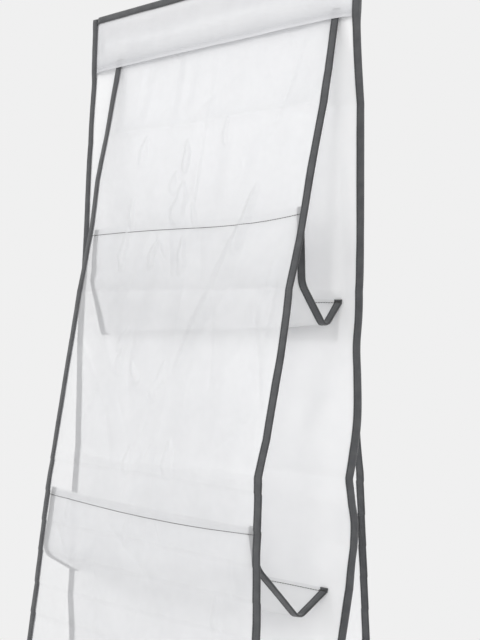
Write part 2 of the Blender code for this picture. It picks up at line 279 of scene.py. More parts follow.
def long_fold(x, drop):
    """The slanting pulled fold that runs down and to the left across the top sling."""
    t = (drop - 0.262) / 0.250
    middle = 0.110 - 0.092 * t + 0.006 * np.sin(5 * t)
    wide = 0.003 + 0.012 * np.sin(math.pi * np.clip(t, 0, 1)) ** 1.5
    across = (x - middle) / wide
    crest = -0.3
    slope = np.where(across > crest, 1.5, 0.95)
    crease = np.clip(1 - np.abs(across - crest) / slope, 0.0, 1.0)
    return 0.0038 * crease * smooth(t / 0.12) * smooth((1 - t) / 0.30)


# Each patch is its middle in X and drop, half width, half length, height and tilt.
FRONT_PATCHES = (
    (-0.021, 0.222, 0.0070, 0.024, 0.0012, 0.05),
    (-0.017, 0.284, 0.0150, 0.034, 0.0012, 0.00),
    (-0.052, 0.345, 0.0060, 0.023, 0.0011, -0.20),
    (-0.108, 0.338, 0.0080, 0.031, 0.0011, 0.05),
    (-0.001, 0.350, 0.0080, 0.026, 0.0011, 0.15),
    (-0.103, 0.292, 0.0050, 0.024, 0.0010, 0.10),
    (0.010, 0.300, 0.0045, 0.020, 0.0010, 0.35),
)


def sheet_marks(name, x, drop):
    """The creases of a sheet's film: crinkles, pressed blisters, packing folds, a middle fold."""
    side = SIDES[name]
    marks = crinkles(x, drop, 31 + side, 46, (0.10, 1.20))
    marks = marks + blisters(x, drop, scattered_patches(41 + side, 16))
    if name == "front":
        marks = marks + blisters(x, drop, FRONT_PATCHES) + long_fold(x, drop)
    for k, fold in enumerate(PACKING_FOLDS):
        bend = fold + 0.002 * lattice(x, fold, 0.06, 8)
        size = 0.0030 if k == 1 else 0.0019
        marks = marks + (-1) ** k * size * ridge(drop - bend, 0.010)
    return marks + 0.0008 * ridge(x - MIDDLE_FOLD, 0.006) * smooth((drop - 0.10) / 0.05)


def sheet_point(name, x, drop):
    """A sheet's film. Its small waves fade at the seams, where a sling's hem holds it flat."""
    side = SIDES[name]
    calm = smooth((drop - SHEET_TOP) / 0.03)
    for level in LEVELS:
        calm = calm * (1 - 0.8 * bump(drop - SEAMS[name][level], 0.014))
    inner = smooth((SHEET_HALF - np.abs(x)) / 0.03)
    gathers = np.exp(-(drop - 0.08) / 0.07)
    wave = 0.0016 * lattice(x + 0.4, drop, 0.085, 21 + side) * inner
    wave = wave + 0.0011 * lattice(x + 0.4, drop * 0.2, 0.014, 22 + side) * gathers
    wave = wave + 0.0009 * lattice(x + 0.4, drop * 0.3, 0.024, 23 + side) * inner
    marks = sheet_marks(name, x, drop)
    depth = sheet_depth(name, x, drop) + calm * wave + inner * (0.4 + 0.6 * calm) * marks
    wander = 0.0010 * lattice(drop, 0.5 * np.sign(x), 0.07, 14)
    wander = wander + 0.0018 * fold_kinks(drop, 16 + side)
    x = x + np.abs(x / SHEET_HALF) ** 8 * wander
    if name == "front":
        x = x + smooth(x / SHEET_HALF) * np.interp(drop, *FRONT_RIGHT_EDGE)
        x = x + smooth(-x / SHEET_HALF) * np.interp(drop, *FRONT_LEFT_EDGE)
    return joined(x + sheet_drift(drop), side * depth, HEADER_TOP - drop)


def back_seam(node, side):
    """The drop of a sling's back seam, a hem below the CAD sling's end on the panel."""
    points = np.array([vertex.co[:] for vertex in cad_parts[node].data.vertices])
    inward = points[:, 1] * side
    hem = points[inward < inward.min() + 0.0016]
    return HEADER_TOP - hem[:, 2].max() + HEM


def front_seam(node):
    """The drop of a sling's front seam, a hem below the top of the CAD sling."""
    return HEADER_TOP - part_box(node)[1].z + HEM


SEAMS, BACKS = {}, {}
for sheet_name, sheet_side in SIDES.items():
    slings = {level: f"{sheet_name}_{level}_sling" for level in LEVELS}
    SEAMS[sheet_name] = {level: front_seam(node) for level, node in slings.items()}
    BACKS[sheet_name] = {level: back_seam(node, sheet_side) for level, node in slings.items()}


# ---------------------------------------------------------------- meshes
def mesh_object(name, points, faces, uvs, paint):
    mesh = bpy.data.meshes.new(name)
    mesh.from_pydata(points.tolist(), [], faces)
    layer = mesh.uv_layers.new(name="cloth")
    corners = np.empty(len(mesh.loops), np.int32)
    mesh.loops.foreach_get("vertex_index", corners)
    layer.data.foreach_set("uv", uvs[corners].astype(np.float32).ravel())
    mesh.materials.append(paint)
    mesh.shade_smooth()
    made = bpy.data.objects.new(name, mesh)
    bpy.context.scene.collection.objects.link(made)
    return made


def lengths(points):
    """Distance along a line of points, from its start."""
    return np.concatenate([[0.0], np.cumsum(np.linalg.norm(np.diff(points, axis=0), axis=1))])


def sheet_mesh(name, grid, paint):
    """A cloth from a grid of points, rows down its length. Its UVs are in metres of cloth."""
    rows, columns = grid.shape[:2]
    across, down = lengths(grid[rows // 2]), lengths(grid[:, columns // 2])
    uvs = np.stack(np.meshgrid(across, down), -1).reshape(-1, 2)
    at = np.arange(rows * columns).reshape(rows, columns)
    faces = np.stack([at[:-1, :-1], at[1:, :-1], at[1:, 1:], at[:-1, 1:]], -1).reshape(-1, 4)
    return mesh_object(name, grid.reshape(-1, 3), faces.tolist(), uvs, paint)


def units(vectors):
    return vectors / np.maximum(np.linalg.norm(vectors, axis=-1, keepdims=True), 1e-12)


# Half of a tape's section, from its free edge to its fold, as shares of its width and its puff.
# The groove is where its stitches pull it down.
TAPE_GROOVE = (0.82, -0.30)
TAPE_LEG = (
    (1.0, 0.0),
    (0.985, 0.35),
    (0.90, 0.40),
    TAPE_GROOVE,
    (0.72, 0.55),
    (0.45, 1.0),
    (0.12, 0.8),
)
TAPE_TURNS = 8
TAPE_INSIDE = (0.05, 0.5, 1.0)


def tape(name, edge, inward, room, paint, seed=1):
    """A tape folded over a cloth's edge.

    edge is the line of the cloth's edge, inward the direction from it into the cloth at each
    point, and room half the thickness of what the tape closes over.
    """
    room = np.broadcast_to(room, len(edge))
    along = units(np.gradient(edge, axis=0))
    inward = units(inward - along * (inward * along).sum(1, keepdims=True))
    normal = np.cross(along, inward)
    run = lengths(edge)
    puff = 0.00030 * (1 + 0.7 * lattice(run, seed, 0.007, 40 + seed))
    swell = 0.00028 * lattice(run, seed, 0.024, 60 + seed)
    wide = TAPE_WIDTH - TAPE_FOLD + 0.0004 * lattice(run, seed, 0.05, 50 + seed)
    outside = room + TAPE_THICK
    section = []
    for share, lift in TAPE_LEG:
        section.append((wide * share, outside + lift * puff + swell))
    for k in range(1, TAPE_TURNS):
        turn = math.pi * k / TAPE_TURNS
        section.append((-TAPE_FOLD * math.sin(turn), (outside + 0.5 * puff) * math.cos(turn)))
    for share, lift in reversed(TAPE_LEG):
        section.append((wide * share, -(outside + lift * puff - swell)))
    section += [(wide * share - 0.00005, -room) for share in reversed(TAPE_INSIDE)]
    section += [(wide * share - 0.00005, room) for share in TAPE_INSIDE]
    ring = np.array([np.stack(np.broadcast_arrays(b, n), -1) for b, n in section])
    ring = ring.transpose(1, 0, 2)
    points = edge[:, None] + ring[..., :1] * inward[:, None] + ring[..., 1:] * normal[:, None]
    groove = TAPE_LEG.index(TAPE_GROOVE)
    far_groove = 2 * len(TAPE_LEG) + TAPE_TURNS - 2 - groove
    rows = ((points[:, groove], normal), (points[:, far_groove], -normal))
    points = points.reshape(-1, 3)
    count, corners = ring.shape[:2]
    girth = np.concatenate([[0.0], np.cumsum(np.linalg.norm(np.diff(ring[0], axis=0), axis=1))])
    uvs = np.stack(np.meshgrid(girth, run), -1).reshape(-1, 2)
    at = np.arange(count * corners).reshape(count, corners)
    after = np.roll(at, -1, axis=1)
    faces = np.stack([at[:-1], after[:-1], after[1:], at[1:]], -1).reshape(-1, 4).tolist()
    faces += [at[0, ::-1].tolist(), at[-1].tolist()]
    cloth_faces = len(faces)
    for path, up in rows:
        more, links = stitch_shapes(path, up)
        faces += [[v + len(points) for v in face] for face in links]
        points = np.concatenate([points, more])
    uvs = np.concatenate([uvs, np.zeros((len(points) - len(uvs), 2))])
    made = mesh_object(name, points, faces, uvs, paint)
    made.data.materials.append(TAPE_THREAD)
    kinds = np.repeat((0, 1), (cloth_faces, len(faces) - cloth_faces)).astype(np.int32)
    made.data.polygons.foreach_set("material_index", kinds)
    return made


def stitch_shapes(path, normal, pitch=0.0036, gap=0.0006, radius=0.00028, lift=0.0004):
    """A row of machine stitches, as points and faces: short arched runs of thread on a path."""
    run = lengths(path)
    sides, steps = 5, 5
    starts = np.arange(int(run[-1] / pitch)) * pitch + gap / 2
    at = starts[:, None] + (pitch - gap) * np.linspace(0.0, 1.0, steps)
    middle = np.stack([np.interp(at, run, path[:, c]) for c in range(3)], -1)
    up = units(np.stack([np.interp(at, run, normal[:, c]) for c in range(3)], -1))
    across = np.cross(units(np.gradient(middle, axis=1)), up)
    arch = np.sin(np.linspace(0.0, math.pi, steps))
    middle = middle + up * (lift * arch - radius * 0.4)[:, None]
    thick = (radius * (0.55 + 0.45 * arch))[None, :, None, None]
    turn = 2 * math.pi * np.arange(sides) / sides
    ring = np.cos(turn)[:, None] * across[:, :, None] + np.sin(turn)[:, None] * up[:, :, None]
    points = (middle[:, :, None] + thick * ring).reshape(-1, 3)
    faces = []
    for base in range(0, len(points), sides * steps):
        for r in range(steps - 1):
            for k in range(sides):
                a, b = base + r * sides + k, base + r * sides + (k + 1) % sides
                faces.append([a, b, b + sides, a + sides])
        faces.append([base + k for k in reversed(range(sides))])
        faces.append([base + (steps - 1) * sides + k for k in range(sides)])
    return points, faces


def stitches(name, path, normal, paint, **sizes):
    points, faces = stitch_shapes(path, normal, **sizes)
    return mesh_object(name, points, faces, points[:, ::2], paint)


def tube(name, centre, radii, paint, sides=24):
    """A round wire along a line in the XZ plane."""
    depth = np.array((0.0, 1.0, 0.0))
    across = np.cross(units(np.gradient(centre, axis=0)), depth)
    turns = np.linspace(0.0, 2 * math.pi, sides, endpoint=False)
    ring = np.cos(turns)[:, None, None] * across + np.sin(turns)[:, None, None] * depth
    points = (centre + ring * np.asarray(radii)[:, None]).transpose(1, 0, 2)
    rows = len(centre)
    at = np.arange(rows * sides).reshape(rows, sides)
    after = np.roll(at, -1, axis=1)
    faces = np.stack([at[:-1], after[:-1], after[1:], at[1:]], -1).reshape(-1, 4).tolist()
    faces += [at[0, ::-1].tolist(), at[-1].tolist()]
    uvs = np.stack(np.meshgrid(turns * 0.002, lengths(centre)), -1).reshape(-1, 2)
    return mesh_object(name, points.reshape(-1, 3), faces, uvs, paint)


# ---------------------------------------------------------------- materials
class Nodes:
    """A material's node tree, with short ways to add and join nodes."""

    def __init__(self, name):
        self.paint = bpy.data.materials.new(name)
        self.paint.use_nodes = True
        self.tree = self.paint.node_tree
        self.tree.nodes.clear()

    def add(self, kind, settings=None, **inputs):
        node = self.tree.nodes.new(kind)
        for key, value in (settings or {}).items():
            setattr(node, key, value)
        for key, value in inputs.items():
            socket = node.inputs[int(key[1:])] if key[0] == "i" and key[1:].isdigit() else None
            socket = socket or node.inputs[key.replace("_", " ")]
            if isinstance(value, bpy.types.NodeSocket):
                self.tree.links.new(value, socket)
            else:
                socket.default_value = value
        return node

    def math(self, operation, a, b=0.0):
        return self.add("ShaderNodeMath", {"operation": operation}, i0=a, i1=b).outputs[0]

    def ribs(self, place, pitch):
        """Waves along a coordinate, from -1 to 1."""
        return self.math("SINE", self.math("MULTIPLY", place, 2 * math.pi / pitch))

    def ramp(self, value, low, high, to_low, to_high):
        node = self.add("ShaderNodeMapRange", None, Value=value)
        keys = ("From Min", "From Max", "To Min", "To Max")
        for key, number in zip(keys, (low, high, to_low, to_high)):
            node.inputs[key].default_value = number
        return node.outputs[0]

    def noise(self, where, scale, detail=3.0, roughness=0.55):
        sizes = {"Scale": scale, "Detail": detail, "Roughness": roughness}
        return self.add("ShaderNodeTexNoise", None, Vector=where, **sizes).outputs[0]

    def mix_colour(self, share, first, second):
        settings = {"data_type": "RGBA"}
        return self.add("ShaderNodeMix", settings, i0=share, i6=first, i7=second).outputs[2]

    def bump(self, height, distance, strength=1.0):
        sizes = {"Distance": distance, "Strength": strength}
        return self.add("ShaderNodeBump", None, Height=height, **sizes).outputs[0]

    def principled(self, colour, normal, roughness, **more):
        kind = "ShaderNodeBsdfPrincipled"
        settings = {"Base_Color": colour, "Normal": normal, "Roughness": roughness}
        return self.add(kind, None, **settings, **more)

    def object_place(self):
        return self.add("ShaderNodeTexCoord").outputs["Object"]

    def cloth_place(self):
        """A cloth's own coordinates, in metres across it and down it."""
        return self.add("ShaderNodeUVMap", {"uv_map": "cloth"}).outputs[0]

    def finish(self, shader):
        out = self.tree.nodes.new("ShaderNodeOutputMaterial")
        self.tree.links.new(shader, out.inputs["Surface"])
        return self.paint


def see_through(nodes, cloth, opacity):
    """Mixes a cloth's shader over what shows through it."""
    clear = nodes.add("ShaderNodeBsdfTransparent").outputs[0]
    return nodes.add("ShaderNodeMixShader", None, i0=opacity, i1=clear, i2=cloth).outputs[0]


def cloth_shader(nodes, colour, normal, roughness, translucency, specular=0.5):
    """A lit surface that also passes some light through from its other side."""
    front = nodes.principled(colour, normal, roughness, Specular_IOR_Level=specular).outputs[0]
    through = nodes.add("ShaderNodeBsdfTranslucent", None, Color=colour, Normal=normal).outputs[0]
    return nodes.add("ShaderNodeMixShader", None, i0=translucency, i1=front, i2=through).outputs[0]


def film_material(name, tints, opacity, glow=0.32, shade_band=None):
    """Milky translucent film: faintly clouded and finely stippled.

    shade_band is a painted shade just above the flap's foot, where the flap curves in: the height
    of its foot, and its tint.
    """
    nodes = Nodes(name)
    where = nodes.cloth_place()
    cloud = nodes.noise(where, 14.0, 3.0)
    colour = nodes.mix_colour(nodes.ramp(cloud, 0.35, 0.65, 0.0, 1.0), *tints)
    # Painted shade: a greyer band just above the flap's foot, where the flap curves in and faces
    # down.
    if shade_band:
        foot, tint = shade_band
        level = nodes.add("ShaderNodeSeparateXYZ", None, Vector=nodes.object_place()).outputs[2]
        over = nodes.ramp(level, foot - 0.005, foot + 0.004, 0.0, 1.0)
        under = nodes.ramp(level, foot + 0.006, foot + 0.020, 1.0, 0.0)
        colour = nodes.mix_colour(nodes.math("MULTIPLY", over, under), colour, tint)
    stipple = nodes.noise(where, 2600.0, 2.0)
    crease = nodes.noise(where, 55.0, 4.0, 0.62)
    height = nodes.math("ADD", nodes.math("MULTIPLY", stipple, 0.05), crease)
    normal = nodes.bump(height, 0.0006, 0.30)
    roughness = nodes.ramp(cloud, 0.3, 0.7, 0.30, 0.42)
    cloth = cloth_shader(nodes, colour, normal, roughness, glow)
    return nodes.finish(see_through(nodes, cloth, nodes.ramp(cloud, 0.3, 0.7, *opacity)))


def nonwoven_material(name, opacity, tints):
    """White non-woven cloth: pressed fibres, bonded at a fine lattice of points."""
    nodes = Nodes(name)
    where = nodes.cloth_place()
    split = nodes.add("ShaderNodeSeparateXYZ", None, Vector=where)
    rise = nodes.math("ADD", split.outputs[0], split.outputs[1])
    fall = nodes.math("SUBTRACT", split.outputs[0], split.outputs[1])
    bond = nodes.math("MULTIPLY", nodes.ribs(rise, 0.0014), nodes.ribs(fall, 0.0014))
    fibre = nodes.noise(where, 900.0, 4.0, 0.7)
    cloud = nodes.noise(where, 22.0, 4.0)
    colour = nodes.mix_colour(nodes.ramp(cloud, 0.3, 0.7, 0.0, 1.0), *tints)
    height = nodes.math("ADD", nodes.math("MULTIPLY", bond, 0.35), fibre)
    normal = nodes.bump(height, 0.00025, 0.6)
    cloth = cloth_shader(nodes, colour, normal, 0.75, 0.16, 0.2)
    return nodes.finish(see_through(nodes, cloth, opacity))


def tape_material():
    """Charcoal grosgrain tape: ribs across it, finer yarns along it, fuzz, and painted shade along
    its fold.
    """
    nodes = Nodes("binding_tape")
    where = nodes.cloth_place()
    split = nodes.add("ShaderNodeSeparateXYZ", None, Vector=where)
    rib = nodes.ribs(split.outputs[1], 0.0009)
    yarn = nodes.ribs(split.outputs[0], 0.00055)
    weave = nodes.math("ADD", nodes.math("MULTIPLY", rib, 0.6), nodes.math("MULTIPLY", yarn, 0.25))
    fuzz = nodes.noise(where, 1400.0, 3.0, 0.7)
    cloud = nodes.noise(where, 60.0, 3.0)
    dark = nodes.mix_colour(nodes.ramp(cloud, 0.3, 0.7, 0.0, 1.0), *TAPE_TINTS)
    shade = nodes.ramp(nodes.math("ADD", weave, fuzz), -0.5, 1.6, 0.86, 1.30)
    # Painted shade: the tape is darkened within a few millimetres of its fold, where it turns away
    # from the light.
    past_fold = nodes.math("SUBTRACT", split.outputs[0], TAPE_WIDTH + 0.0006)
    from_fold = nodes.math("ABSOLUTE", past_fold)
    shade = nodes.math("MULTIPLY", shade, nodes.ramp(from_fold, 0.0012, 0.0028, 0.62, 1.0))
    colour = nodes.add("ShaderNodeVectorMath", {"operation": "SCALE"}, i0=dark)
    nodes.tree.links.new(shade, colour.inputs["Scale"])
    height = nodes.math("ADD", weave, nodes.math("MULTIPLY", fuzz, 0.8))
    normal = nodes.bump(height, 0.00016, 0.7)
    sheen = {"Sheen_Weight": 0.35, "Sheen_Roughness": 0.45, "Specular_IOR_Level": 0.3}
    return nodes.finish(nodes.principled(colour.outputs[0], normal, 0.82, **sheen).outputs[0])


def thread_material(name, low, high):
    """Spun thread, with its twist as a bump."""
    nodes = Nodes(name)
    twist = nodes.noise(nodes.object_place(), 2500.0, 2.0)
    normal = nodes.bump(twist, 0.0001, 0.6)
    colour = nodes.mix_colour(nodes.ramp(twist, 0.3, 0.7, 0.0, 1.0), low, high)
    return nodes.finish(nodes.principled(colour, normal, 0.7).outputs[0])


def steel_material():
    """Bright zinc-plated wire with faint drawing lines and small dull patches."""
    nodes = Nodes("hook_steel")
    where = nodes.object_place()
    drawn = nodes.add("ShaderNodeMapping", None, Vector=where, Scale=(1400.0, 1400.0, 60.0))
    lines = nodes.noise(drawn.outputs[0], 1.0, 3.0)
    dull = nodes.noise(where, 120.0, 4.0)
    colour = nodes.mix_colour(nodes.ramp(dull, 0.35, 0.7, 0.0, 1.0), *STEEL_TINTS)
    normal = nodes.bump(lines, 0.00006, 0.5)
    roughness = nodes.ramp(dull, 0.3, 0.7, 0.18, 0.34)
    return nodes.finish(nodes.principled(colour, normal, roughness, Metallic=1.0).outputs[0])


def wood_material():
    """Planed pale wood with long grain along X."""
    nodes = Nodes("bar_wood")
    where = nodes.object_place()
    stretched = nodes.add("ShaderNodeMapping", None, Vector=where, Scale=(6.0, 180.0, 180.0))
    grain = nodes.noise(stretched.outputs[0], 1.0, 5.0, 0.6)
    colour = nodes.mix_colour(nodes.ramp(grain, 0.35, 0.65, 0.0, 1.0), *WOOD_TINTS)
    normal = nodes.bump(grain, 0.0002, 0.5)
    return nodes.finish(nodes.principled(colour, normal, 0.6).outputs[0])


FILM_TINTS = ((0.915, 0.919, 0.934, 1), (0.942, 0.945, 0.957, 1))
SLING_TINTS = ((0.875, 0.878, 0.886, 1), (0.905, 0.907, 0.913, 1))
SLING_OPACITY = (0.90, 0.95)
FILM_OPACITY = (0.54, 0.60)
FLAP_TINTS = ((0.90, 0.904, 0.925, 1), (0.93, 0.933, 0.948, 1))
# The tint of the painted shade just above the flap's foot.
HEM_SHADE_TINT = (0.75, 0.755, 0.775, 1)
FLAP_OPACITY = (0.65, 0.71)
TAPE_TINTS = ((0.070, 0.072, 0.076, 1), (0.100, 0.103, 0.107, 1))
CLOTH_TINTS = ((0.92, 0.922, 0.93, 1), (0.95, 0.951, 0.957, 1))
CLOTH_OPACITY = 0.985
STEEL_TINTS = ((0.50, 0.50, 0.51, 1), (0.34, 0.34, 0.35, 1))
WOOD_TINTS = ((0.66, 0.47, 0.29, 1), (0.42, 0.27, 0.15, 1))

FILM = film_material("milky_film", FILM_TINTS, FILM_OPACITY)
# The flap's painted shade band: the height of its foot, and its tint.
FLAP_HEM_SHADE = (HEADER_TOP - FLAP_DROP, HEM_SHADE_TINT)
FLAP_FILM = film_material("flap_film", FLAP_TINTS, FLAP_OPACITY, glow=0.12, shade_band=FLAP_HEM_SHADE)
PANEL_CLOTH = nonwoven_material("panel_cloth", CLOTH_OPACITY, CLOTH_TINTS)
SLING_FILM = film_material("sling_film", SLING_TINTS, SLING_OPACITY, glow=0.30)
TAPE = tape_material()
THREAD = thread_material("seam_thread", (0.04, 0.038, 0.036, 1), (0.09, 0.086, 0.08, 1))
TAPE_THREAD = thread_material("tape_thread", (0.025, 0.026, 0.028, 1), (0.055, 0.057, 0.06, 1))
PALE_THREAD = thread_material("pale_thread", (0.70, 0.70, 0.71, 1), (0.82, 0.82, 0.83, 1))
STEEL = steel_material()
WOOD = wood_material()


# ---------------------------------------------------------------- the panel and its header
# Half of the header's thickness out to a layer, over the bar and at the side tapes.
POCKET_ROOM = (0.0049, 0.0009)
FLAP_ROOM = (0.0060, 0.0013)
TAPE_ROOM = (0.0066, 0.0017)
PANEL_START = 0.044
HEM_ROOM = 0.0007
WAYS = (("left", -1), ("right", 1))


def steps(start, end, step=CLOTH_STEP):
    return np.linspace(start, end, max(2, int(round((end - start) / step)) + 1))


def facing(direction, count):
    """The same direction for each point of a line."""
    return np.tile(direction, (count, 1))


def pinch(x, room):
    """Room in the header, which narrows past the bar's end to its side tapes."""
    wide, narrow = room
    reach = smooth((np.abs(x) - BAR_HALF - 0.0006) / 0.0065)
    return wide + (narrow - wide) * reach


def corner_room(drop):
    """Room in a side tape, which opens near the foot for the bottom tape."""
    return ROOM + HEM_ROOM * smooth((drop - PANEL_LENGTH + 0.022) / 0.010)


def side_edge(grid, way, depth):
    """A grid's side edge, and the direction into its cloth, taken some columns in."""
    edge = grid[:, 0 if way < 0 else -1]
    return edge, units(grid[:, depth if way < 0 else -1 - depth] - edge)


def panel_grid():
    drops = steps(PANEL_START, PANEL_LENGTH - EDGE_INSET, PANEL_STEP)
    across = steps(-1.0, 1.0, PANEL_STEP / PANEL_HALF)
    share, drop = np.meshgrid(across, drops)
    half = PANEL_HALF - EDGE_INSET
    shift = np.where(share > 0, panel_edge_shift(drop, 1), panel_edge_shift(drop, -1))
    points = panel_point(share * half, drop)
    points[..., 0] += shift * np.abs(share) ** 6
    return points


def build_panel():
    grid = panel_grid()
    panel = sheet_mesh("panel_cloth", grid, PANEL_CLOTH)
    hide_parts("centre_panel")
    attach(panel, "panel")

    drops = steps(0.0006, PANEL_START, 0.004)
    tapes = []
    for name, way in WAYS:
        edge, into_cloth = side_edge(grid, way, 4)
        top = joined(edge[0, 0], 0.0, HEADER_TOP - drops)[:-1]
        edge = np.concatenate([top, edge, edge[-1:] - (0, 0, EDGE_INSET)])
        inward = facing((-way, 0.0, 0.0), len(edge))
        inward[len(top) : -1] = into_cloth
        drop = HEADER_TOP - edge[:, 2]
        room = corner_room(drop) + 0.0015 * (1 - smooth((drop - 0.072) / 0.022))
        room = room + 0.0006 * (1 - smooth((drop - 0.010) / 0.010))
        made = tape(f"panel_{name}_tape", edge, inward, room, TAPE, seed=2 + way)
        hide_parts(f"panel_{name}_binding")
        tapes.append(made)

    bottom = grid[-1]
    up = facing((0.0, 0.0, 1.0), len(bottom))
    made = tape("panel_bottom_tape", bottom, up, ROOM, TAPE, seed=5)
    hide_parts("panel_bottom_binding")
    tapes.append(made)

    across = steps(-PANEL_HALF + EDGE_INSET, PANEL_HALF - EDGE_INSET, 0.0035)
    top = joined(across, 0.0, HEADER_TOP - TAPE_FOLD)
    down = facing((0.0, 0.0, -1.0), len(top))
    made = tape("header_top_tape", top, down, pinch(across, TAPE_ROOM), TAPE, seed=6)
    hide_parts("panel_top_binding")
    tapes.append(made)

    pocket = pocket_mesh()
    for name in SIDES:
        build_flap(name)
    for piece in tapes:
        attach(piece, "panel")


def pocket_mesh():
    """The rod pocket: the panel's top, folded over the bar and sewn down below it."""
    turns = np.linspace(0, math.pi, 9)
    over_bar = [(-math.cos(turn), 0.0042 - 0.0026 * math.sin(turn)) for turn in turns]
    # From the rear to the front, each point is a share of the room and a drop.
    outline = [(-0.08, 0.0470), (-0.55, 0.0430), (-1.0, 0.0385), (-1.0, 0.0220), *over_bar]
    outline += [(1.0, 0.0220), (1.0, 0.0385), (0.55, 0.0430), (0.16, 0.0470), (0.16, 0.0560)]
    across = steps(-PANEL_HALF + EDGE_INSET, PANEL_HALF - EDGE_INSET)
    room = pinch(across, POCKET_ROOM)
    rows = [joined(across, share * room, HEADER_TOP - drop) for share, drop in outline]
    pocket = sheet_mesh("rod_pocket", np.array(rows), PANEL_CLOTH)
    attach(pocket, "panel")
    return pocket


FLAP_FLARE = 0.0072
FLAP_RETURN = 0.0038


def build_flap(name):
    """A header flap. It flares and comes partly back, and its foot is turned up inside as a hem."""
    side = SIDES[name]
    across = steps(-PANEL_HALF + EDGE_INSET, PANEL_HALF - EDGE_INSET)
    down = np.concatenate([steps(0.0012, FLAP_DROP - 0.0008), [FLAP_DROP - 0.0002]])
    turned_up = steps(FLAP_DROP - 0.0010 - HEM, FLAP_DROP - 0.0010, 0.003)[::-1]
    drops = np.concatenate([down, [FLAP_DROP - 0.0003], turned_up])
    free = smooth((PANEL_HALF - 0.012 - np.abs(across)) / 0.03)
    rows = []
    for k, drop in enumerate(drops):
        inside = 0.0005 if k >= len(down) else 0.0
        flare = FLAP_FLARE * smooth((drop - 0.012) / 0.038)
        flare = flare - FLAP_RETURN * smooth((drop - 0.054) / 0.022)
        wave = 0.0011 * lattice(across + 0.7, drop * 0.6, 0.055, 71 + side)
        lift = (flare + wave * smooth((drop - 0.045) / 0.035)) * free
        out = pinch(across, FLAP_ROOM) + lift - inside
        rows.append(joined(across, side * out, HEADER_TOP - drop))
    flap = sheet_mesh(f"header_{name}_flap_film", np.array(rows), FLAP_FILM)
    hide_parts(f"header_{name}_flap")
    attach(flap, "panel")
    seam = rows[int(round((FLAP_DROP - 0.008) / CLOTH_STEP))][2:-2]
    out = facing((0.0, side, 0.0), len(seam))
    fine = {"radius": 0.0002, "lift": 0.0002}
    row = stitches(f"header_{name}_hem_stitches", seam, out, PALE_THREAD, **fine)
    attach(row, "panel")


# ---------------------------------------------------------------- sheets and slings
def sheet_grid(name):
    drops = steps(SHEET_TOP, PANEL_LENGTH - EDGE_INSET, FILM_STEP)
    across = steps(-SHEET_HALF + EDGE_INSET, SHEET_HALF - EDGE_INSET, FILM_STEP)
    x, drop = np.meshgrid(across, drops)
    return sheet_point(name, x, drop)


# Each is a seam's sag, and how far its lowest point leans to the right.
SEAM_SAG = {"top": (0.0062, 2.2), "middle": (0.0055, 1.2), "bottom": (0.0045, 1.0)}
SEAM_THREAD = 0.00042


def seam_drop(name, level, x):
    """The drop of a sling's front seam, which sags between its ends and may tilt."""
    tilt = SEAM_TILT.get((name, level), 0.0) * x / SHEET_HALF
    sag, lean = SEAM_SAG[level]
    across = np.clip((x / SHEET_HALF + 1) / 2, 0.0, 1.0)
    return SEAMS[name][level] + tilt + sag * np.sin(math.pi * across**lean)


def build_sheet(name):
    body = f"{name}_sheet_assembly"
    grid = sheet_grid(name)
    film = sheet_mesh(f"{name}_sheet_film", grid, FILM)
    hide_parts(f"{name}_sheet")
    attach(film, body)
    tapes = []
    side = SIDES[name]
    for way_name, way in WAYS:
        edge, inward = side_edge(grid, way, 5)
        edge = np.concatenate([edge, edge[-1:] - (0, 0, EDGE_INSET)])
        inward = np.concatenate([inward, inward[-1:]])
        room = corner_room(HEADER_TOP - edge[:, 2])
        seed = 8 + way + side
        made = tape(f"{name}_sheet_{way_name}_tape", edge, inward, room, TAPE, seed=seed)
        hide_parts(f"{name}_sheet_{way_name}_binding")
        tapes.append(made)
    up = units(grid[-6] - grid[-1])
    made = tape(f"{name}_sheet_bottom_tape", grid[-1], up, ROOM, TAPE, seed=12 + side)
    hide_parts(f"{name}_sheet_bottom_binding")
    tapes.append(made)
    across = steps(-SHEET_HALF + 0.002, SHEET_HALF - 0.002)
    out = facing((0.0, side, 0.0), len(across))
    for level in LEVELS:
        seam = sheet_point(name, across, seam_drop(name, level, across)) + out * 0.0003
        row = stitches(f"{name}_{level}_seam_stitches", seam, out, THREAD, radius=SEAM_THREAD)
        tapes.append(row)
    for piece in tapes:
        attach(piece, body)


def filleted(points, radii, count=7):
    """A path in a plane with its inner corners rounded to the radii."""
    path = [np.array(points[0])]
    for before, corner, after, radius in zip(points, points[1:], points[2:], radii):
        back = units(np.subtract(before, corner))
        on = units(np.subtract(after, corner))
        turn = math.pi - math.acos(float(np.clip(back @ on, -1, 1)))
        reach = radius * math.tan(turn / 2)
        centre = corner + units(back + on) * radius / math.cos(turn / 2)
        start = corner + back * reach - centre
        sense = math.copysign(1.0, back[1] * on[0] - back[0] * on[1])
        for k in range(count + 1):
            angle = sense * turn * k / count
            c, s = math.cos(angle), math.sin(angle)
            path.append(centre + (c * start[0] - s * start[1], s * start[0] + c * start[1]))
    return np.array(path + [np.array(points[-1])])


def hanging(start, end, cloth_length, lean, wall_share):
    """A sling's section from (y, drop) to (y, drop): a wall, a bend and a fold.

    lean is how far the wall leans, as a share of the gap, and wall_share how much of the depth it
    takes. The depth is found by halving, so that the path has the cloth's length.
    """
    gap = start[0] - end[0]
    wall_share = wall_share * min(1.0, abs(gap) / 0.050)
    fold_radius = min(0.0025 + 0.07 * abs(gap), 0.28 * abs(gap))
    shallow, deep = end[1] - start[1], 2 * cloth_length
    for _ in range(30):
        depth = (shallow + deep) / 2
        wall = (start[0] - lean * gap, start[1] + wall_share * depth)
        fold = (start[0] - 0.62 * gap, start[1] + depth)
        path = filleted([start, wall, fold, end], [WALL_BEND, fold_radius])
        if lengths(path)[-1] < cloth_length:
            shallow = depth
        else:
            deep = depth
    return path


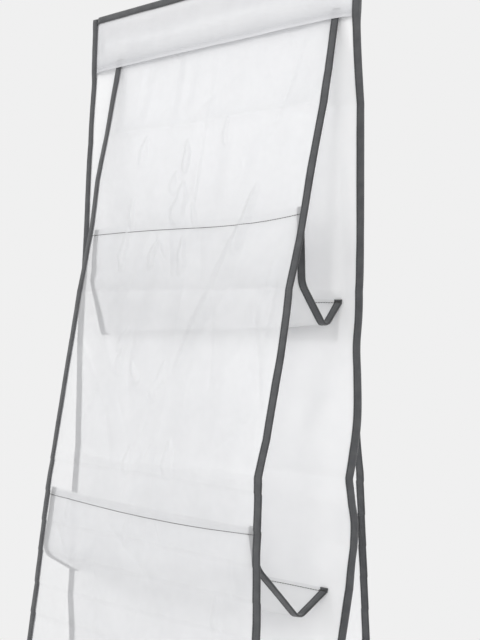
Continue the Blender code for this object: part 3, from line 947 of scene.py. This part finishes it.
WALL_BEND = 0.022
SLING_ROWS = 46
SLING_FRONT_HALF = SHEET_HALF - 0.0080
SLING_CLEAR = 0.0029
BACK_CLEAR = 0.0022
BACK_HEM = 0.0040
SHEET_SLOPE = 0.155
BACK_TILT = {("front", "top"): 0.0022}
FRONT_TUCK = {("front", "middle"): 0.0045}
# The front slings are cut a little shorter, and on a slant.
SLING_CUT = {"front": (SLING_LENGTH - 0.004, -0.010), "rear": (SLING_LENGTH, 0.0)}
# The hem on the sheet, folded up and back: each point is a share of its height, and how far it
# lies inside the cloth's outer face.
FRONT_HEM = (
    (-0.10, 0.0008),
    (0.45, 0.0008),
    (0.96, 0.0007),
    (1.0, 0.0003),
    (0.96, 0.0),
    (0.5, 0.0),
)
# Each of the rest is a pair, for a sling's left and right ends.
BACK_FLARE = {
    "front": {"top": (0.0045, 0.0135), "middle": (-0.0160, 0.0180), "bottom": (-0.0100, 0.0120)},
    "rear": {"top": (-0.0080, 0.0100), "middle": (-0.0120, 0.0120), "bottom": (-0.0100, 0.0100)},
}
WALL_LEAN = {
    "front": {"top": (-0.16, -0.02), "middle": (-0.06, 0.04), "bottom": (0.06, 0.08)},
    "rear": {"top": (0.20, 0.22), "middle": (0.30, 0.36), "bottom": (0.25, 0.28)},
}
WALL_SHARE = {
    "front": {"top": (0.62, 0.62), "middle": (0.70, 0.36), "bottom": (0.60, 0.52)},
    "rear": {"top": (0.60, 0.60), "middle": (0.58, 0.60), "bottom": (0.60, 0.56)},
}


def between_ends(share, pair):
    """A value between a sling's left end, at -1, and its right end, at 1."""
    return float(np.interp(share, (-1.0, 1.0), pair))


def beside_panel(x, drop, side):
    """The depth of a cloth that lies against the panel."""
    return float(panel_point(np.array(x), np.array(drop))[1]) + side * BACK_CLEAR


def sling_column(name, level, share):
    """One column of a sling: a hem on the sheet, the hanging cloth, and its end on the panel."""
    side = SIDES[name]
    x = share * SLING_FRONT_HALF - FRONT_TUCK.get((name, level), 0.0) * smooth(share)
    seam = float(seam_drop(name, level, x))
    back = BACKS[name][level] + BACK_TILT.get((name, level), 0.0) * share
    seam_x = x + float(sheet_drift(seam))
    back_x = seam_x + between_ends(share, BACK_FLARE[name][level])
    y = side * (float(sheet_depth(name, x, seam)) - SLING_CLEAR)
    end_y = beside_panel(back_x, back, side)
    middle_cut, slant = SLING_CUT[name]
    cut = middle_cut + slant * share
    cut = cut + 0.0015 * float(lattice(x, 0.5, 0.06, 80 + len(level) + side))
    lean = between_ends(share, WALL_LEAN[name][level])
    wall_share = between_ends(share, WALL_SHARE[name][level])
    path = hanging((y, seam), (end_y, back), cut, lean, wall_share)
    run = lengths(path)
    even = np.linspace(0.0, run[-1], SLING_ROWS)
    ys, drops = np.interp(even, run, path[:, 0]), np.interp(even, run, path[:, 1])
    hem = []
    for up, inner in FRONT_HEM:
        hem.append((seam_x, y - side * (SHEET_SLOPE * HEM * up + inner), seam - HEM * up))
    xs = seam_x + (back_x - seam_x) * even / even[-1]
    foot_y = beside_panel(back_x, back - BACK_HEM, side)
    tail = [(back_x, end_y + (foot_y - end_y) * t, back - BACK_HEM * t) for t in (0.5, 1.0)]
    return hem + list(zip(xs, ys, drops)) + tail


def sling_grid(name, level):
    """A sling's points, with the waves and one long crease of its hanging cloth."""
    side = SIDES[name]
    shares = steps(-1.0, 1.0, CLOTH_STEP / SHEET_HALF)
    columns = [sling_column(name, level, share) for share in shares]
    grid = np.array(columns).transpose(1, 0, 2)
    x, drop = grid[..., 0], grid[..., 2]
    row = np.arange(len(grid))[:, None]
    free = smooth((row - 9) / 8) * smooth((len(grid) - 4 - row) / 6)
    wave = 0.0022 * lattice(x + 0.5, drop * 2.2, 0.05, 90 + len(level) + side)
    wave = wave + 0.0028 * bump(x + 0.050 + 0.10 * (drop - drop[len(FRONT_HEM)]), 0.011)
    grid[..., 1] += free * wave * smooth((SHEET_HALF + 0.004 - np.abs(x)) / 0.04)
    grid[..., 2] = HEADER_TOP - grid[..., 2]
    return grid


TACK_SWINGS = 4.5
TACK_HALF = 0.0046
TACK_HEIGHT = 0.0016
LOOSE_LENGTH = 0.021
LOOSE_SAG = 0.0034
LOOSE_FALL = 0.0016


def thread_end(name, start, way):
    """A seam's back-tacked end over the tape, and its loose thread in a small slack curve."""
    t = np.linspace(0.0, 1.0, 13)[1:]
    drop = LOOSE_SAG * np.sin(math.pi * t) + LOOSE_FALL * t
    loose = joined(start[0] - way * LOOSE_LENGTH * t, start[1], start[2] - drop)
    turn = np.linspace(0.0, 1.0, 73)
    swing = TACK_HALF * np.sin(2 * math.pi * TACK_SWINGS * turn)
    tack = joined(start[0] + way * swing, start[1], start[2] + TACK_HEIGHT * (1 - turn))
    line = np.concatenate([tack, loose])
    return tube(name, line, np.full(len(line), 0.00026), THREAD, sides=6)


def build_sling(name, level):
    body, side = f"{name}_sheet_assembly", SIDES[name]
    node = f"{name}_{level}_sling"
    grid = sling_grid(name, level)
    cloth = sheet_mesh(f"{node}_cloth", grid, SLING_FILM)
    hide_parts(node)
    pieces = []
    for way_name, way in WAYS:
        edge, inward = side_edge(grid[4:], way, 3)
        made = tape(f"{node}_{way_name}_tape", edge, inward, ROOM, TAPE, seed=15 + way + side)
        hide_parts(f"{node}_{way_name}_binding")
        pieces.append(made)
    for piece in [cloth, *pieces]:
        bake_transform(piece)
    back = grid[-3] + (0.0, -side * 0.0006, 0.0)
    out = facing((0.0, side, 0.0), len(back))
    for way_name, way in WAYS:
        column = 1 if way < 0 else -2
        place = back[column] + out[column] * 0.0020
        loose = thread_end(f"{node}_{way_name}_loose_thread", place, way)
        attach(loose, "panel")
    row = stitches(f"{node}_back_stitches", back + out * 0.0014, out, THREAD, radius=SEAM_THREAD)
    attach(row, "panel")


# ---------------------------------------------------------------- hook and bar
WIRE = 0.0018
BEND_DROP = 0.020
BEND = BEND_DROP + WIRE
NECK_BEND = 0.014
BEND_START, BEND_END, BEND_STEP = -45, 206, 4
# The hook's head, riveted over the washer: height and radius.
HOOK_HEAD = ((0.0, 0.0024), (0.0004, 0.0031), (0.0017, 0.0032), (0.0021, WIRE))


def build_hook():
    """The wire hook: a riveted head, a stem, a neck and a round bend with a rounded tip."""
    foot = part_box("hanger_hook")[0].z
    neck = math.radians(BEND_START)
    neck_point = np.array([BEND * math.cos(neck), BEND * math.sin(neck) - BEND_DROP])
    meet = neck_point[1] - neck_point[0]
    stem = filleted([(0.0, foot + 0.002), (0.0, meet), neck_point], [NECK_BEND], count=12)
    arc = np.radians(np.arange(BEND_START, BEND_END, BEND_STEP))[1:]
    ring = np.stack([BEND * np.cos(arc), BEND * np.sin(arc) - BEND_DROP], -1)
    straight = np.linspace(stem[0, 1] + 0.001, stem[1, 1], 12)[:-1]
    line = [(0.0, foot + height) for height, _ in HOOK_HEAD]
    line += [(0.0, z) for z in straight] + [tuple(p) for p in stem[1:]] + [tuple(p) for p in ring]
    radii = [radius for _, radius in HOOK_HEAD]
    radii += [WIRE] * (len(line) - len(radii))
    last = arc[-1] + math.pi / 2
    for step in (0.35, 0.65, 0.85, 0.96, 1.0):
        reach = step * WIRE
        line.append((ring[-1, 0] + reach * math.cos(last), ring[-1, 1] + reach * math.sin(last)))
        radii.append(WIRE * math.sqrt(1 - step**2) + 0.00002)
    centre = np.array([(x, 0.0, z) for x, z in line])
    hook = tube("hook_wire", centre, radii, STEEL)
    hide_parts("hanger_hook")
    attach(hook, "hook")
    for node, paint in (("hook_washer", STEEL), ("hook_eyelet", STEEL), ("header_bar", WOOD)):
        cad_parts[node].data.materials.clear()
        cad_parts[node].data.materials.append(paint)


# ---------------------------------------------------------------- floor, light and camera
WORLD_TINT = (0.871, 0.871, 0.871, 1)
WORLD_LIGHT = 0.84
FLOOR_TINTS = ((0.70, 0.70, 0.70, 1), (0.73, 0.73, 0.73, 1))
FLOOR_RADIUS = 2.2
FLOOR_FADE = (0.9, 2.1)
FLOOR_BELOW = 0.30
LAMP_AIM = Vector((0.0, 0.0, -0.6))
# Each lamp is its name, place, size and power.
LAMPS = (
    ("key_lamp", (-3.2, -3.6, 1.6), (1.5, 1.5), 46.0),
    ("side_lamp", (2.6, -1.9, 0.5), (2.4, 2.4), 40.0),
    ("back_lamp", (1.4, 3.4, 0.3), (2.4, 2.4), 62.0),
)
CAMERA_PLACE = (0.9259, -0.9493, -0.5295)
CAMERA_TURN = (42.14, 1.21, 1.98)
CAMERA_LENS = 58.36


def build_stage():
    """A pale world, a round floor that fades out, three soft lamps and a plain view transform."""
    world = bpy.data.worlds.new("studio")
    bpy.context.scene.world = world
    world.use_nodes = True
    background = world.node_tree.nodes["Background"]
    background.inputs["Color"].default_value = WORLD_TINT
    seen = world.node_tree.nodes.new("ShaderNodeLightPath").outputs["Is Camera Ray"]
    strength = world.node_tree.nodes.new("ShaderNodeMapRange")
    strength.inputs["To Min"].default_value = WORLD_LIGHT
    world.node_tree.links.new(seen, strength.inputs["Value"])
    world.node_tree.links.new(strength.outputs[0], background.inputs["Strength"])
    nodes = Nodes("pale_floor")
    where = nodes.object_place()
    far = nodes.add("ShaderNodeVectorMath", {"operation": "LENGTH"}, i0=where).outputs["Value"]
    colour = nodes.mix_colour(nodes.noise(where, 30.0), *FLOOR_TINTS)
    floor = nodes.add("ShaderNodeBsdfPrincipled", None, Base_Color=colour, Roughness=0.8).outputs[0]
    fade = nodes.ramp(far, *FLOOR_FADE, 1.0, 0.0)
    paint = nodes.finish(see_through(nodes, floor, fade))
    mesh = bpy.data.meshes.new("floor")
    build = bmesh.new()
    bmesh.ops.create_circle(build, cap_ends=True, segments=96, radius=FLOOR_RADIUS)
    build.to_mesh(mesh)
    build.free()
    mesh.materials.append(paint)
    ground = bpy.data.objects.new("floor", mesh)
    ground.location = (0.0, 0.0, CAD_BOX[0][2] - FLOOR_BELOW)
    bpy.context.scene.collection.objects.link(ground)
    ground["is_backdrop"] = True
    for name, place, size, power in LAMPS:
        lamp = bpy.data.lights.new(name, "AREA")
        lamp.shape = "RECTANGLE"
        lamp.size, lamp.size_y = size
        lamp.energy = power
        holder = bpy.data.objects.new(name, lamp)
        holder.location = place
        aim = LAMP_AIM - Vector(place)
        holder.rotation_euler = aim.to_track_quat("-Z", "Y").to_euler()
        bpy.context.scene.collection.objects.link(holder)
    view = bpy.context.scene.view_settings
    view.view_transform = "Standard"
    view.look = "None"
    view.exposure = 0.0
    view.gamma = 1.0


def build_camera():
    """A camera at its place, turned by its yaw, pitch and roll in degrees."""
    yaw, pitch, roll = (math.radians(a) for a in CAMERA_TURN)
    level = math.cos(pitch)
    ahead = Vector((-math.sin(yaw) * level, math.cos(yaw) * level, math.sin(pitch)))
    right = Vector((math.cos(yaw), math.sin(yaw), 0.0))
    up = right.cross(ahead)
    turned_right = math.cos(roll) * right + math.sin(roll) * up
    turned_up = math.cos(roll) * up - math.sin(roll) * right
    data = bpy.data.cameras.new("camera")
    data.sensor_width = 36.0
    data.lens = CAMERA_LENS
    data.clip_start = 0.01
    camera = bpy.data.objects.new("camera", data)
    pose = Matrix((turned_right, turned_up, -ahead)).transposed().to_4x4()
    pose.translation = CAMERA_PLACE
    camera.matrix_world = pose
    bpy.context.scene.collection.objects.link(camera)
    bpy.context.scene.camera = camera


build_camera()
build_stage()
build_panel()
for sheet_name in SIDES:
    build_sheet(sheet_name)
    for sling_level in LEVELS:
        build_sling(sheet_name, sling_level)
build_hook()

boxes = {
    "cad": [list(map(float, corner)) for corner in CAD_BOX],
    "visual": [list(map(float, corner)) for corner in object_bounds()],
}
